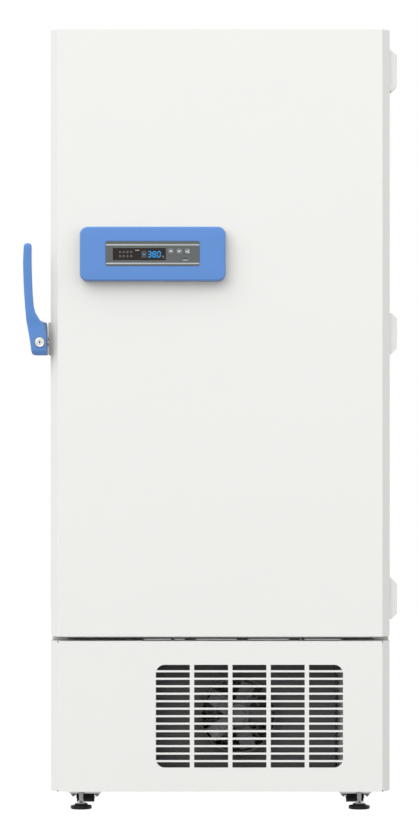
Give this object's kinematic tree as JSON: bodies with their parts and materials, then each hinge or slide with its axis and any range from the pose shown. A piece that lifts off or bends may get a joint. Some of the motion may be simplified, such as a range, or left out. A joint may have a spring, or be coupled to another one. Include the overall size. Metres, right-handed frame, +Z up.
{
  "type": "laboratory freezer",
  "caption": "Upright laboratory freezer with a hinged solid door, lever latch with lock, door controller, slotted intake panel, rollers and levelling feet.",
  "frame": {"origin": "on the floor, under the middle of the box that holds the freezer with its hinges and handle", "axes": "+Z up, -Y out of the door's front, +X towards the door's hinges"},
  "size_m": [0.9362, 0.777, 1.955],
  "materials": {
    "front_paint": "satin powder coat",
    "liner_paint": "satin powder coat",
    "zinc_steel": "zinc-plated sheet",
    "steel": "plain turned steel",
    "insulation": "rigid foam",
    "white_plastic": "fine moulded",
    "seal": "soft matt",
    "copper": "drawn tube",
    "fin_metal": "mill finish",
    "black_plastic": "moulded",
    "black_paint": "gloss enamel",
    "probe_steel": "bright",
    "bezel_grey": "printed film",
    "key_grey": "printed film",
    "lens": "smoked",
    "board": "laminate",
    "handle_blue": "glossy moulding",
    "lock_chrome": "satin chrome"
  },
  "bodies": {
    "cabinet": {"left_side_panel": "front_paint", "right_side_panel": "front_paint", "top_panel": "front_paint", "rear_panel": "front_paint", "front_grille_panel": "front_paint", "machine_rear_cover": "front_paint", "hinge_cabinet_leaves": "front_paint", "inner_liner": "liner_paint", "shelf_lower": "liner_paint", "shelf_middle": "liner_paint", "shelf_upper": "liner_paint", "electrical_box": "liner_paint", "machine_ceiling": "zinc_steel", "base_tray": "zinc_steel", "base_rails": "zinc_steel", "shelf_strips": "zinc_steel", "caster_housings": "zinc_steel", "fan_shroud": "zinc_steel", "latch_keeper": "steel", "hinge_pins": "steel", "cabinet_foam": "insulation", "breaker_frame": "white_plastic", "compressor_mounts": "seal", "evaporator_coil": "copper", "refrigerant_lines": "copper", "condenser_core": "fin_metal", "power_inlet": "black_plastic", "compressor": "black_paint", "fan_motor": "black_paint", "temperature_probe": "probe_steel"},
    "door": {"door_skin": "front_paint", "door_foam": "insulation", "door_liner": "white_plastic", "door_gasket": "seal", "hinge_door_leaves": "front_paint", "controller_housing": "handle_blue", "controller_bezel": "bezel_grey", "display_window": "lens", "display_board": "board", "handle_mount": "white_plastic", "handle_pivot": "steel"},
    "key_up": {"key_up": "key_grey"},
    "key_down": {"key_down": "key_grey"},
    "key_confirm": {"key_confirm": "key_grey"},
    "handle": {"handle_lever": "handle_blue", "latch_hook": "steel", "lock_barrel": "lock_chrome"},
    "lock": {"lock_plug": "lock_chrome"},
    "fan": {"fan_rotor": "black_plastic"},
    "wheel_front_left": {"caster_wheel_front_left": "black_plastic"},
    "wheel_front_right": {"caster_wheel_front_right": "black_plastic"},
    "wheel_rear_left": {"caster_wheel_rear_left": "black_plastic"},
    "wheel_rear_right": {"caster_wheel_rear_right": "black_plastic"},
    "foot_front_left": {"levelling_foot_front_left": "black_plastic"},
    "foot_front_right": {"levelling_foot_front_right": "black_plastic"},
    "foot_rear_left": {"levelling_foot_rear_left": "black_plastic"},
    "foot_rear_right": {"levelling_foot_rear_right": "black_plastic"}
  },
  "joints": [
    {"name": "door_hinge", "type": "hinge", "parent": "cabinet", "child": "door", "pos_m": [0.45915, -0.2717, 1.196], "axis": [0, 0, 1], "range_deg": [0, 110]},
    {"name": "handle_hinge", "type": "hinge", "parent": "door", "child": "handle", "pos_m": [-0.40935, -0.3057, 1.183], "axis": [1, 0, 0], "range_deg": [-12, 70]},
    {"name": "lock_turn", "type": "hinge", "parent": "handle", "child": "lock", "pos_m": [-0.42635, -0.3647, 1.1736], "axis": [0, 1, 0], "range_deg": [0, 90]},
    {"name": "key_up_press", "type": "slide", "parent": "door", "child": "key_up", "axis": [0, 1, 0], "range_m": [0, 0.0006], "stiffness_N_per_m": 1500},
    {"name": "key_down_press", "type": "slide", "parent": "door", "child": "key_down", "axis": [0, 1, 0], "range_m": [0, 0.0006], "stiffness_N_per_m": 1500},
    {"name": "key_confirm_press", "type": "slide", "parent": "door", "child": "key_confirm", "axis": [0, 1, 0], "range_m": [0, 0.0006], "stiffness_N_per_m": 1500},
    {"name": "fan_spin", "type": "hinge", "parent": "cabinet", "child": "fan", "pos_m": [0.06965, -0.2997, 0.237], "axis": [0, 1, 0], "continuous": true},
    {"name": "roll_front_left", "type": "hinge", "parent": "cabinet", "child": "wheel_front_left", "pos_m": [-0.31635, -0.2177, 0.0305], "axis": [1, 0, 0], "continuous": true},
    {"name": "roll_front_right", "type": "hinge", "parent": "cabinet", "child": "wheel_front_right", "pos_m": [0.36565, -0.2177, 0.0305], "axis": [1, 0, 0], "continuous": true},
    {"name": "roll_rear_left", "type": "hinge", "parent": "cabinet", "child": "wheel_rear_left", "pos_m": [-0.31635, 0.2893, 0.0305], "axis": [1, 0, 0], "continuous": true},
    {"name": "roll_rear_right", "type": "hinge", "parent": "cabinet", "child": "wheel_rear_right", "pos_m": [0.36565, 0.2893, 0.0305], "axis": [1, 0, 0], "continuous": true},
    {"name": "level_front_left", "type": "slide", "parent": "cabinet", "child": "foot_front_left", "axis": [0, 0, 1], "range_m": [-0.012, 0.01]},
    {"name": "level_front_right", "type": "slide", "parent": "cabinet", "child": "foot_front_right", "axis": [0, 0, 1], "range_m": [-0.012, 0.01]},
    {"name": "level_rear_left", "type": "slide", "parent": "cabinet", "child": "foot_rear_left", "axis": [0, 0, 1], "range_m": [-0.012, 0.01]},
    {"name": "level_rear_right", "type": "slide", "parent": "cabinet", "child": "foot_rear_right", "axis": [0, 0, 1], "range_m": [-0.012, 0.01]}
  ]
}
